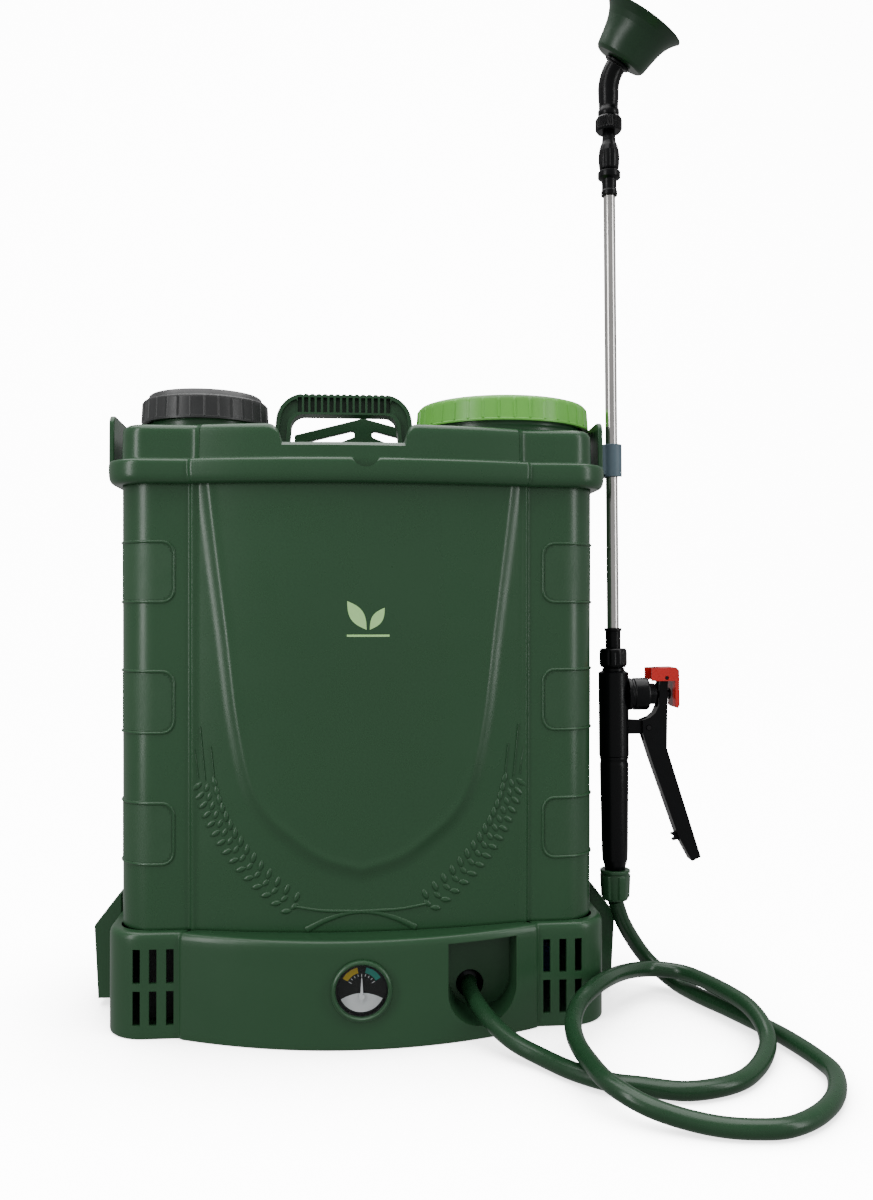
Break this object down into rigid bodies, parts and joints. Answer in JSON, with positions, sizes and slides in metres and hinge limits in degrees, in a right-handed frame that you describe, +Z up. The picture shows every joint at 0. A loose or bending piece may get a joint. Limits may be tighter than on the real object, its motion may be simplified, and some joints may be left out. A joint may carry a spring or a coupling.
{
  "type": "backpack sprayer",
  "caption": "Battery knapsack sprayer: moulded tank with screw caps and carry handle, base with gauge and vents, steel lance with trigger gun, and hose.",
  "frame": {"origin": "centre of the base footprint, on the surface the sprayer stands on", "axes": "+Z up, the front with the gauge and the hose outlet faces -Y, the lance stands on the +X side"},
  "size_m": [0.5407, 0.3786, 0.8228],
  "materials": {
    "tank_green": "glossy injection-moulded polyethylene, dark green",
    "lime": "semi-gloss moulded plastic, lime green",
    "black_plastic": "satin black moulded plastic",
    "latch_red": "semi-gloss red plastic",
    "clip_grey": "grey-blue nylon",
    "steel": "brushed stainless steel",
    "rubber": "moulded rubber",
    "foam": "fabric-covered foam",
    "dial": "printed dial",
    "white_plastic": "white moulded nylon",
    "lens": "clear lens",
    "brass": "turned brass",
    "pcb_box": "potted electronics box"
  },
  "bodies": {
    "tank": {"tank_shell": "tank_green", "tank_gasket": "rubber", "tank_top": "tank_green", "base_cover": "tank_green", "base_plate": "tank_green", "left_wing": "tank_green", "right_wing": "tank_green", "carry_handle": "tank_green", "strap_hanger": "tank_green", "backrest": "black_plastic", "back_pad": "foam", "strainer_basket": "white_plastic", "gauge_case": "black_plastic", "gauge_bezel": "tank_green", "gauge_dial": "dial", "gauge_lens": "lens", "battery": "black_plastic", "battery_bracket": "steel", "pump_head": "black_plastic", "pump_motor": "steel", "pressure_switch": "white_plastic", "suction_fitting": "brass", "suction_hose": "rubber", "delivery_hose": "rubber", "outlet_barb": "brass", "controller_box": "pcb_box", "charging_socket": "black_plastic", "hose_nut": "tank_green", "gun_grip": "black_plastic", "gun_body": "black_plastic", "lance_nut": "black_plastic", "lance_ferrule": "black_plastic", "valve_barrel": "black_plastic", "valve_cap": "black_plastic", "valve_spring": "steel", "trigger_pin": "steel", "lance_pipe": "steel", "lance_sleeve": "black_plastic", "adjusting_nut": "black_plastic", "knurled_collar": "black_plastic", "lance_clip": "clip_grey", "hose": "tank_green"},
    "trigger": {"trigger_lever": "black_plastic", "latch_pin": "steel"},
    "stem": {"valve_stem": "steel"},
    "latch": {"lock_latch": "latch_red"},
    "elbow": {"lance_elbow": "black_plastic"},
    "nozzle": {"nozzle_flange": "black_plastic", "nozzle_tip": "brass", "nozzle_bell": "tank_green"},
    "fill_seal": {"fill_cap_seal": "rubber"},
    "fill_cap": {"fill_cap": "lime"},
    "small_seal": {"small_cap_seal": "rubber"},
    "small_cap": {"small_cap": "black_plastic"},
    "needle": {"gauge_needle": "white_plastic"},
    "knob": {"speed_knob": "black_plastic"},
    "rocker": {"rocker_switch": "black_plastic"},
    "flap": {"socket_flap": "rubber"}
  },
  "joints": [
    {"name": "trigger_pull", "type": "hinge", "parent": "tank", "child": "trigger", "pos_m": [0.23674, -0.02, 0.22401], "axis": [0, 1, 0], "range_deg": [0, 18], "stiffness_Nm_per_rad": 1, "springref_deg": -17.19},
    {"name": "stem_slide", "type": "slide", "parent": "tank", "child": "stem", "axis": [1, 0, 0.0075], "range_m": [0, 0.0095]},
    {"name": "latch_flip", "type": "hinge", "parent": "trigger", "child": "latch", "pos_m": [0.25063, -0.02, 0.26501], "axis": [0, -1, 0], "range_deg": [0, 25]},
    {"name": "elbow_swivel", "type": "hinge", "parent": "tank", "child": "elbow", "pos_m": [0.20515, -0.02, 0.72868], "axis": [-0.0075, 0, 1], "continuous": true},
    {"name": "nozzle_turn", "type": "hinge", "parent": "elbow", "child": "nozzle", "pos_m": [0.21005, -0.02365, 0.76965], "axis": [0.4999, -0.3542, 0.7903], "continuous": true},
    {"name": "fill_cap_rise", "type": "slide", "parent": "tank", "child": "fill_seal", "axis": [0, 0, 1], "range_m": [0, 0.0176]},
    {"name": "fill_cap_turn", "type": "hinge", "parent": "fill_seal", "child": "fill_cap", "pos_m": [0.1194, 0.006, 0.48], "axis": [0, 0, 1], "range_deg": [0, 900]},
    {"name": "small_cap_rise", "type": "slide", "parent": "tank", "child": "small_seal", "axis": [0, 0, 1], "range_m": [0, 0.0211]},
    {"name": "small_cap_turn", "type": "hinge", "parent": "small_seal", "child": "small_cap", "pos_m": [-0.1268, 0.006, 0.48], "axis": [0, 0, 1], "range_deg": [0, 1080]},
    {"name": "needle_swing", "type": "hinge", "parent": "tank", "child": "needle", "pos_m": [0, -0.1058, 0.039], "axis": [0, 1, 0], "range_deg": [-45, 45], "stiffness_Nm_per_rad": 0.001},
    {"name": "speed_knob_turn", "type": "hinge", "parent": "tank", "child": "knob", "pos_m": [0.1922, 0.066, 0.052], "axis": [1, 0, 0], "range_deg": [0, 270]},
    {"name": "power_rocker", "type": "hinge", "parent": "tank", "child": "rocker", "pos_m": [-0.1922, 0.066, 0.052], "axis": [0, 1, 0], "range_deg": [0, 12]},
    {"name": "flap_hinge", "type": "hinge", "parent": "tank", "child": "flap", "pos_m": [0.1939, 0.066, 0.0325], "axis": [0, -1, 0], "range_deg": [0, 90]}
  ],
  "couplings": [
    {"joint": "stem_slide", "follows": "trigger_pull", "m_per_rad": 0.029},
    {"joint": "fill_cap_rise", "follows": "fill_cap_turn", "m_per_rad": 0.0011141},
    {"joint": "small_cap_rise", "follows": "small_cap_turn", "m_per_rad": 0.0011141}
  ]
}
